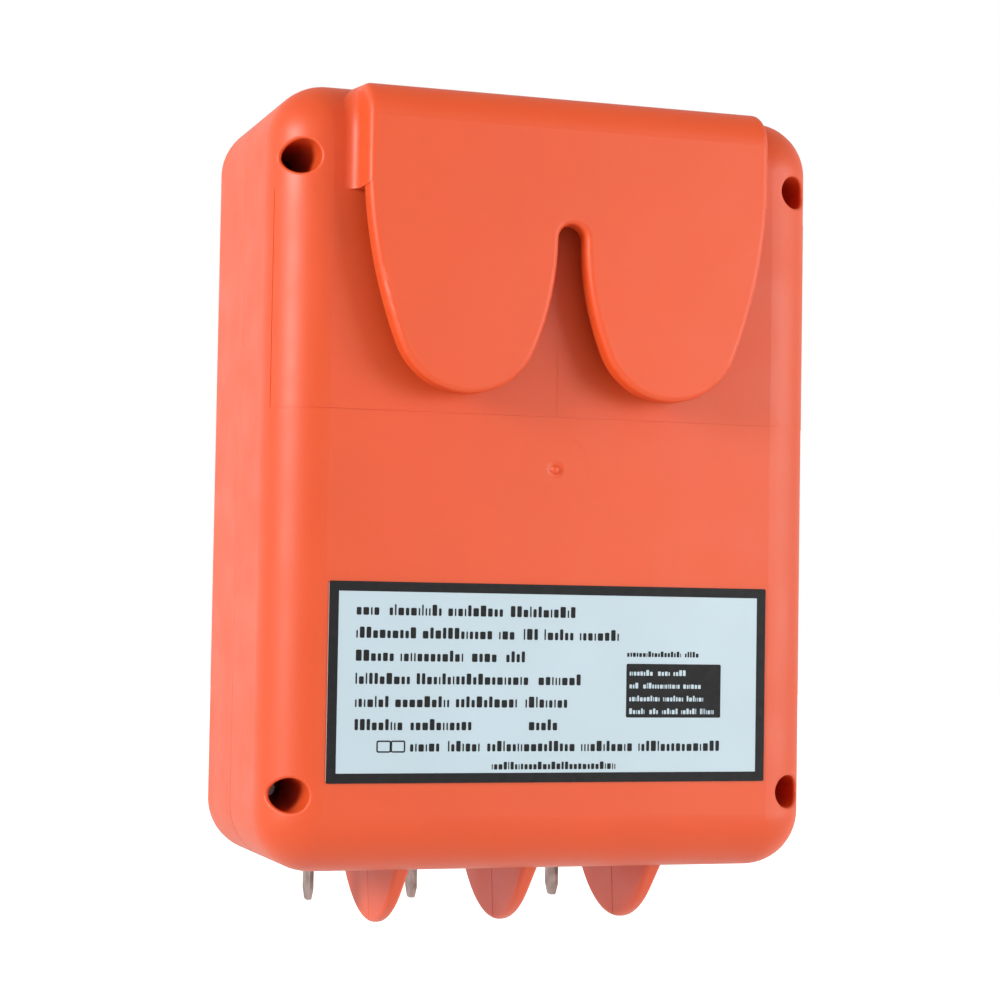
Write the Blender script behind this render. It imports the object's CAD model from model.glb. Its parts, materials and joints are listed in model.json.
import json
import math
import random

import bmesh
import bpy
from mathutils import Euler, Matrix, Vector


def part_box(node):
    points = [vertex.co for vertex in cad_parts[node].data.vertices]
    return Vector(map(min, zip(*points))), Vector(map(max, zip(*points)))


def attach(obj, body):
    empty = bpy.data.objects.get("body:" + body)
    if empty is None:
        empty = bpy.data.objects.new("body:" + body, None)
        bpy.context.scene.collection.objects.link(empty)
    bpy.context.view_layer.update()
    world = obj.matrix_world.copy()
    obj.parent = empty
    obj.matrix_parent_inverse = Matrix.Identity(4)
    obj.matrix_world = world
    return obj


MM = 0.001

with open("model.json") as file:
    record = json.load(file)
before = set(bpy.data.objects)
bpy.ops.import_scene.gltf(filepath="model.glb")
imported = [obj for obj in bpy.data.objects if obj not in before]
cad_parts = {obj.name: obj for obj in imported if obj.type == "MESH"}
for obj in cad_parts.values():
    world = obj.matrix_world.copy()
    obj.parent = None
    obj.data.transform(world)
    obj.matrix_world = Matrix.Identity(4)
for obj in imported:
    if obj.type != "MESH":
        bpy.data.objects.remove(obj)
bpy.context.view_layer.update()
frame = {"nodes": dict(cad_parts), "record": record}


# ------------------------------------------------------------ materials

def linear(red, green, blue):
    """An sRGB colour from 0 to 255 as the linear colour of a shader socket."""
    def channel(value):
        value /= 255
        return value / 12.92 if value <= 0.04045 else ((value + 0.055) / 1.055) ** 2.4
    return (channel(red), channel(green), channel(blue), 1.0)


def shade(colour, factor):
    return tuple(min(1.0, part * factor) for part in colour[:3]) + (1.0,)


class Recipe:
    """A procedural material on object coordinates, in metres."""

    def __init__(self, name, colour, roughness, metallic=0.0, **sockets):
        self.material = bpy.data.materials.new(name)
        self.material.use_nodes = True
        self.tree = self.material.node_tree
        self.shader = self.tree.nodes["Principled BSDF"]
        self.shader.inputs["Base Color"].default_value = colour
        self.shader.inputs["Roughness"].default_value = roughness
        self.shader.inputs["Metallic"].default_value = metallic
        for socket, value in sockets.items():
            self.shader.inputs[socket.replace("_", " ")].default_value = value
        self.space = self.tree.nodes.new("ShaderNodeTexCoord").outputs["Object"]
        self.height = None

    def noise(self, scale, detail=3.0, stretch=(1.0, 1.0, 1.0)):
        mapping = self.tree.nodes.new("ShaderNodeMapping")
        mapping.inputs["Scale"].default_value = stretch
        self.tree.links.new(self.space, mapping.inputs["Vector"])
        texture = self.tree.nodes.new("ShaderNodeTexNoise")
        texture.inputs["Scale"].default_value = scale
        texture.inputs["Detail"].default_value = detail
        self.tree.links.new(mapping.outputs["Vector"], texture.inputs["Vector"])
        return texture.outputs[0]

    def bands(self, direction, scale):
        """Straight waves across one axis."""
        wave = self.tree.nodes.new("ShaderNodeTexWave")
        wave.bands_direction = direction
        wave.inputs["Scale"].default_value = scale
        self.tree.links.new(self.space, wave.inputs["Vector"])
        return wave.outputs["Fac"]

    def spread(self, value, low, high, start=0.3, end=0.7):
        """The noise value stretched to run from low to high."""
        node = self.tree.nodes.new("ShaderNodeMapRange")
        node.inputs["From Min"].default_value = start
        node.inputs["From Max"].default_value = end
        node.inputs["To Min"].default_value = low
        node.inputs["To Max"].default_value = high
        self.tree.links.new(value, node.inputs["Value"])
        return node.outputs["Result"]

    def mix(self, factor, first, second):
        """Colour mix; the factor and both colours are plain values or outputs of nodes."""
        node = self.tree.nodes.new("ShaderNodeMix")
        node.data_type = "RGBA"
        for place, value in (("Factor", factor), (6, first), (7, second)):
            socket = node.inputs[place]
            if isinstance(value, bpy.types.NodeSocket):
                self.tree.links.new(value, socket)
            else:
                socket.default_value = value
        return node.outputs[2]

    def colour(self, output):
        self.tree.links.new(output, self.shader.inputs["Base Color"])
        return self

    def roughness(self, output):
        self.tree.links.new(output, self.shader.inputs["Roughness"])
        return self

    def bump(self, output, strength, distance):
        node = self.tree.nodes.new("ShaderNodeBump")
        node.inputs["Strength"].default_value = strength
        node.inputs["Distance"].default_value = distance
        self.tree.links.new(output, node.inputs["Height"])
        if self.height is not None:
            self.tree.links.new(self.height, node.inputs["Normal"])
        self.height = node.outputs["Normal"]
        self.tree.links.new(self.height, self.shader.inputs["Normal"])
        return self


def mottled(name, colour, roughness, vary=0.12, scale=300.0, metallic=0.0, grain=0.1, **sockets):
    """Plain material with slight changes of tone, gloss and surface."""
    recipe = Recipe(name, colour, roughness, metallic, **sockets)
    tone = recipe.spread(recipe.noise(scale), 0.0, 1.0)
    recipe.colour(recipe.mix(tone, shade(colour, 1.0 - vary), shade(colour, 1.0 + vary)))
    recipe.roughness(recipe.spread(recipe.noise(scale * 1.7), roughness * 0.85, min(1.0, roughness * 1.15)))
    recipe.bump(recipe.noise(scale * 6), grain, 0.05 * MM)
    return recipe.material


def orange_plastic():
    """Injection-moulded shell: spark-eroded grain, faint flow marks and clouding."""
    colour = linear(214, 78, 30)
    recipe = Recipe("orange_plastic", colour, 0.46, Subsurface_Weight=0.25, Subsurface_Scale=0.004,
                    Specular_IOR_Level=0.5)
    recipe.shader.inputs["Subsurface Radius"].default_value = (1.0, 0.35, 0.2)
    clouds = recipe.spread(recipe.noise(22.0, 4.0), 0.0, 1.0)
    flow = recipe.spread(recipe.noise(60.0, 3.0, (1.0, 1.0, 0.18)), 0.0, 1.0)
    base = recipe.mix(clouds, shade(colour, 0.95), shade(colour, 1.05))
    streaked = recipe.mix(flow, shade(colour, 0.98), shade(colour, 1.02))
    recipe.colour(recipe.mix(0.5, base, streaked))
    recipe.roughness(recipe.spread(recipe.noise(90.0, 5.0), 0.42, 0.52))
    recipe.bump(recipe.noise(1500.0, 2.0), 0.10, 0.06 * MM)
    recipe.bump(recipe.noise(180.0, 3.0), 0.05, 0.15 * MM)
    return recipe.material


def label_film():
    """Printed film with a cool pale ground and a faint fibre."""
    colour = linear(176, 193, 201)
    recipe = Recipe("label_film", colour, 0.38)
    tone = recipe.spread(recipe.noise(45.0, 4.0), 0.0, 1.0)
    recipe.colour(recipe.mix(tone, shade(colour, 0.975), shade(colour, 1.02)))
    recipe.roughness(recipe.spread(recipe.noise(160.0), 0.34, 0.44))
    recipe.bump(recipe.noise(900.0, 2.0, (1.0, 1.0, 0.3)), 0.06, 0.03 * MM)
    return recipe.material


def ink():
    """Dull near-black print."""
    colour = linear(16, 16, 18)
    recipe = Recipe("label_ink", colour, 0.55, Specular_IOR_Level=0.25)
    tone = recipe.spread(recipe.noise(700.0, 2.0), 0.0, 1.0)
    recipe.colour(recipe.mix(tone, shade(colour, 0.8), shade(colour, 1.5)))
    recipe.roughness(recipe.spread(recipe.noise(500.0), 0.48, 0.62))
    recipe.bump(recipe.noise(2500.0), 0.05, 0.02 * MM)
    return recipe.material


def blade_metal():
    """Tinned brass: fine rolling lines along the blade, dull spots."""
    colour = linear(168, 146, 138)
    recipe = Recipe("blade_metal", colour, 0.36, 1.0)
    lines = recipe.noise(900.0, 2.0, (1.0, 1.0, 0.05))
    spots = recipe.spread(recipe.noise(350.0, 4.0), 0.0, 1.0, 0.4, 0.65)
    recipe.colour(recipe.mix(spots, linear(172, 146, 138), linear(140, 116, 104)))
    recipe.roughness(recipe.spread(recipe.noise(260.0), 0.28, 0.48))
    recipe.bump(lines, 0.15, 0.03 * MM)
    return recipe.material


def copper():
    """Enamelled wire laid turn beside turn."""
    colour = linear(176, 96, 52)
    recipe = Recipe("copper", colour, 0.3, 0.9)
    turns = recipe.bands("Z", 900.0)
    recipe.colour(recipe.mix(turns, shade(colour, 0.55), shade(colour, 1.1)))
    recipe.bump(turns, 0.5, 0.15 * MM)
    return recipe.material


def laminations():
    """Stack of thin steel sheets, seen on edge."""
    colour = linear(92, 92, 96)
    recipe = Recipe("core_steel", colour, 0.5, 0.8)
    sheets = recipe.bands("Y", 320.0)
    recipe.colour(recipe.mix(sheets, shade(colour, 0.5), shade(colour, 1.1)))
    recipe.bump(sheets, 0.4, 0.1 * MM)
    return recipe.material


MATERIALS = {
    "orange_plastic": orange_plastic(),
    "label_film": label_film(),
    "front_film": label_film(),
    "blade_metal": blade_metal(),
    "screw_steel": mottled("screw_steel", linear(170, 168, 165), 0.32, 0.12, 600.0, 1.0, 0.12),
    "seal_rubber": mottled("seal_rubber", linear(38, 38, 38), 0.8, 0.2, 500.0),
    "board_laminate": mottled("board_laminate", linear(38, 104, 58), 0.35, 0.15, 250.0),
    "core_steel": laminations(),
    "bobbin_plastic": mottled("bobbin_plastic", linear(226, 218, 196), 0.45, 0.06, 300.0),
    "copper": copper(),
    "lead_red": mottled("lead_red", linear(178, 28, 30), 0.4, 0.1, 400.0),
    "lead_green": mottled("lead_green", linear(40, 130, 60), 0.4, 0.1, 400.0),
    "capacitor_box": mottled("capacitor_box", linear(48, 88, 160), 0.3, 0.08, 200.0),
    "ferrite": mottled("ferrite", linear(62, 62, 64), 0.6, 0.25, 900.0),
    "device_black": mottled("device_black", linear(40, 40, 42), 0.5, 0.2, 700.0),
    "can_sleeve": mottled("can_sleeve", linear(44, 48, 84), 0.3, 0.1, 300.0),
    "resistor_body": mottled("resistor_body", linear(186, 166, 128), 0.4, 0.15, 900.0),
    "ceramic_coat": mottled("ceramic_coat", linear(196, 138, 66), 0.45, 0.12, 600.0),
    "fuse_glass": mottled("fuse_glass", linear(214, 222, 222), 0.12, 0.05, 300.0, 0.0, 0.02),
    "varistor_coat": mottled("varistor_coat", linear(44, 96, 170), 0.35, 0.1, 400.0),
    "gap_ceramic": mottled("gap_ceramic", linear(222, 216, 212), 0.4, 0.06, 400.0),
    "clear_plastic": mottled("clear_plastic", linear(232, 232, 230), 0.12, 0.04, 200.0, 0.0, 0.02,
                             Transmission_Weight=0.6),
}
INK = ink()


def dress_nodes():
    """Each CAD node gets the material of its own slot."""
    for entry in frame["record"]["subparts"]:
        node = frame["nodes"][entry["node"]]
        material = MATERIALS[entry["material_slot"]]
        if not node.data.materials:
            node.data.materials.append(material)
        for index in range(len(node.material_slots)):
            node.material_slots[index].material = material


# ------------------------------------------------------------ print on the rating label
# Distances are in mm, right and down from the label's upper left corner, seen from behind.

BORDER = 1.95
TEXT_LEFT = 5.6
TEXT_FIRST = 6.6
TEXT_PITCH = 4.52
TEXT_SIZE = 2.3
WORD_GAP = 1.4
TEXT_LINES = [
    (5.3, 10.7, 11.7, 14.3),
    (12.2, 14.5, 3.8, 3.0, 6.2, 8.8),
    (7.7, 13.4, 5.8, 4.5),
    (11.1, 23.3),
    (6.8, 11.1, 13.2, 9.0),
    (10.0, 12.6),
]
LATE_WORDS = [
    # line, right of TEXT_LEFT, length
    (3, 38.0, 9.0),
    (5, 36.1, 6.0),
]
SMALL_ROWS = [
    # right, down, lengths of the words, size, gap
    (17.0, 33.4, (6.4, 6.8, 18.5, 11.0, 17.8), 2.2, 1.4),
    (34.0, 37.0, (26.6,), 1.6, 1.0),
    (62.6, 14.3, (12.0, 3.0), 1.2, 0.7),
]
EMPTY_BOXES = [(10.1, 31.2, 3.0, 2.4), (13.0, 31.2, 3.0, 2.4)]
PANEL = (62.5, 15.7, 20.8, 10.9)
ADDRESS_LEFT = 63.2
ADDRESS_FIRST = 18.1
ADDRESS_PITCH = 2.6
ADDRESS_LINES = [
    (5.4, 2.6, 2.8),
    (2.2, 8.0, 4.0),
    (6.6, 4.4, 4.0),
    (3.6, 2.0, 3.4, 3.4, 3.0),
]
# The blocks that stand for letters, as parts of the text size.
BLOCK_WIDTHS = (0.14, 0.3, 0.42, 0.5)
BLOCK_HEIGHTS = (0.66, 0.66, 0.72, 0.96)
BLOCK_GAP = 0.17
BLOCK_BEND = 0.1


class Print:
    """Flat ink marks on the outer face of a label, placed from its own corner."""

    def __init__(self, name, node, lift):
        low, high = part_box(node)
        self.name = name
        self.left = high[0]
        self.top = high[2]
        self.width = high[0] - low[0]
        self.height = high[2] - low[2]
        self.face = high[1] + lift
        self.mesh = bmesh.new()

    def outline(self, x, z, width, height, bend):
        """Corner-rounded outline; x and z run right and down from the corner, in mm."""
        bend = min(bend, width / 2.001, height / 2.001)
        points = []
        for corner, (dx, dz) in enumerate(((0, 0), (1, 0), (1, 1), (0, 1))):
            across = x + (bend if dx == 0 else width - bend)
            down = z + (bend if dz == 0 else height - bend)
            for step in range(4):
                turn = math.pi + (corner + step / 3) * math.pi / 2
                points.append((across + bend * math.cos(turn), down + bend * math.sin(turn)))
        return [(self.left - px * MM, self.face, self.top - pz * MM) for px, pz in points]

    def fill(self, x, z, width, height, bend=0.3):
        corners = [self.mesh.verts.new(point) for point in self.outline(x, z, width, height, bend)]
        self.mesh.faces.new(corners)

    def ring(self, x, z, width, height, line, bend=0.4):
        outer = [self.mesh.verts.new(p) for p in self.outline(x, z, width, height, bend)]
        inner = [self.mesh.verts.new(p) for p in self.outline(x + line, z + line, width - 2 * line,
                                                              height - 2 * line, max(0.05, bend - line))]
        for n in range(len(outer)):
            after = (n + 1) % len(outer)
            self.mesh.faces.new((outer[n], outer[after], inner[after], inner[n]))

    def finish(self, material):
        data = bpy.data.meshes.new(self.name)
        bmesh.ops.recalc_face_normals(self.mesh, faces=self.mesh.faces[:])
        for face in self.mesh.faces:
            if face.normal.y < 0:
                face.normal_flip()
        self.mesh.to_mesh(data)
        self.mesh.free()
        data.materials.append(material)
        made = bpy.data.objects.new(self.name, data)
        bpy.context.scene.collection.objects.link(made)
        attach(made, "root")


def word(sheet, rng, x, z, length, size):
    """A word as a run of small blocks of mixed widths, no letters; returns where it ends."""
    end = x + length
    gap = size * BLOCK_GAP
    while x + gap < end:
        width = min(size * rng.choice(BLOCK_WIDTHS), end - x)
        height = size * rng.choice(BLOCK_HEIGHTS)
        sheet.fill(x, z - height, width, height, size * BLOCK_BEND)
        x += width + gap
    return end


def text_row(sheet, rng, x, z, lengths, size, gap):
    """Words of the given lengths on one line."""
    for length in lengths:
        x = word(sheet, rng, x, z, length, size) + gap


def label_print():
    """Dark print on the label, and pale rows on its dark panel."""
    rng = random.Random(7)
    dark = Print("label_print", "rating_label", 0.02 * MM)
    dark.ring(0.0, 0.0, dark.width / MM, dark.height / MM, BORDER, 0.3)
    for line, lengths in enumerate(TEXT_LINES):
        text_row(dark, rng, TEXT_LEFT, TEXT_FIRST + TEXT_PITCH * line, lengths, TEXT_SIZE, WORD_GAP)
    for line, indent, length in LATE_WORDS:
        word(dark, rng, TEXT_LEFT + indent, TEXT_FIRST + TEXT_PITCH * line, length, TEXT_SIZE)
    for row in SMALL_ROWS:
        text_row(dark, rng, *row)
    for box in EMPTY_BOXES:
        dark.ring(*box, 0.3)
    dark.fill(*PANEL)
    dark.finish(INK)
    pale = Print("label_reverse_print", "rating_label", 0.04 * MM)
    for line, lengths in enumerate(ADDRESS_LINES):
        text_row(pale, rng, ADDRESS_LEFT, ADDRESS_FIRST + ADDRESS_PITCH * line, lengths, 1.2, 0.8)
    pale.finish(MATERIALS["label_film"])


# ------------------------------------------------------------ stage, light and camera

FLOOR_RADIUS = 7.0
FLOOR_LEVEL = -0.32
MIDDLE = (0.0, -0.03, -0.06)
LAMPS = [
    # name, place, diameter, power in W
    ("key", (-0.75, 0.9, 0.05), 0.6, 5.2),
    ("left_softbox", (1.25, 0.42, 0.3), 0.55, 16.0),
    ("grazing_softbox", (0.5, -1.3, 0.3), 1.2, 0.7),
    ("right_softbox", (-1.3, 0.6, 0.0), 0.9, 6.2),
]
# Axis, then strength at its negative and at its positive end.
WORLD_FALLOFF = (("Z", 1.1, 0.35), ("Y", 1.3, 0.95))
# Fitted to the outline of the case in the photo, in metres and degrees.
CAMERA_PLACE = (0.16655, 0.46328, -0.08286)
CAMERA_TURN = (92.6078, -0.9424, 161.5633)


def stage():
    """Pale glowing floor under the hanging case."""
    data = bpy.data.meshes.new("floor")
    mesh = bmesh.new()
    bmesh.ops.create_circle(mesh, cap_ends=True, segments=96, radius=FLOOR_RADIUS)
    mesh.to_mesh(data)
    mesh.free()
    floor = bpy.data.objects.new("floor", data)
    floor.location = (0.0, 0.0, FLOOR_LEVEL)
    recipe = Recipe("pale_floor", linear(250, 250, 250), 0.85)
    tone = recipe.spread(recipe.noise(3.0, 2.0), 0.0, 1.0)
    recipe.colour(recipe.mix(tone, linear(249, 249, 249), linear(252, 252, 252)))
    recipe.shader.inputs["Emission Color"].default_value = (1.0, 1.0, 1.0, 1.0)
    recipe.shader.inputs["Emission Strength"].default_value = 0.7
    data.materials.append(recipe.material)
    bpy.context.scene.collection.objects.link(floor)
    floor.visible_diffuse = False
    floor.visible_glossy = False


def area_light(name, place, size, power):
    """Round soft lamp that faces the middle of the case."""
    data = bpy.data.lights.new(name, "AREA")
    data.shape = "DISK"
    data.size = size
    data.energy = power
    lamp = bpy.data.objects.new(name, data)
    lamp.location = place
    lamp.rotation_euler = (Vector(MIDDLE) - Vector(place)).to_track_quat("-Z", "Y").to_euler()
    bpy.context.scene.collection.objects.link(lamp)


def studio_world():
    """White surround: brighter below, as over a white table, and in front of the case."""
    world = bpy.data.worlds.new("studio")
    world.use_nodes = True
    nodes, links = world.node_tree.nodes, world.node_tree.links
    light = nodes["Background"]
    light.inputs["Color"].default_value = (1.0, 1.0, 1.0, 1.0)
    direction = nodes.new("ShaderNodeTexCoord")
    parts = nodes.new("ShaderNodeSeparateXYZ")
    links.new(direction.outputs["Generated"], parts.inputs["Vector"])
    strength = nodes.new("ShaderNodeMath")
    strength.operation = "MULTIPLY"
    for socket, (axis, least, most) in enumerate(WORLD_FALLOFF):
        ramp = nodes.new("ShaderNodeMapRange")
        ramp.inputs["From Min"].default_value = -1.0
        ramp.inputs["To Min"].default_value = least
        ramp.inputs["To Max"].default_value = most
        links.new(parts.outputs[axis], ramp.inputs["Value"])
        links.new(ramp.outputs["Result"], strength.inputs[socket])
    links.new(strength.outputs["Value"], light.inputs["Strength"])
    seen = nodes.new("ShaderNodeBackground")
    seen.inputs["Color"].default_value = (1.0, 1.0, 1.0, 1.0)
    path = nodes.new("ShaderNodeLightPath")
    mix = nodes.new("ShaderNodeMixShader")
    links.new(path.outputs["Is Camera Ray"], mix.inputs["Fac"])
    links.new(light.outputs["Background"], mix.inputs[1])
    links.new(seen.outputs["Background"], mix.inputs[2])
    links.new(mix.outputs["Shader"], nodes["World Output"].inputs["Surface"])
    bpy.context.scene.world = world


def camera():
    """Behind the case, a little to its left side and slightly below its middle."""
    data = bpy.data.cameras.new("camera")
    data.lens = 88.27
    data.sensor_width = 36.0
    made = bpy.data.objects.new("camera", data)
    made.location = CAMERA_PLACE
    made.rotation_euler = Euler(tuple(math.radians(turn) for turn in CAMERA_TURN))
    bpy.context.scene.collection.objects.link(made)
    bpy.context.scene.camera = made


dress_nodes()
label_print()
stage()
for lamp in LAMPS:
    area_light(*lamp)
studio_world()
camera()
bpy.context.scene.view_settings.view_transform = "Standard"
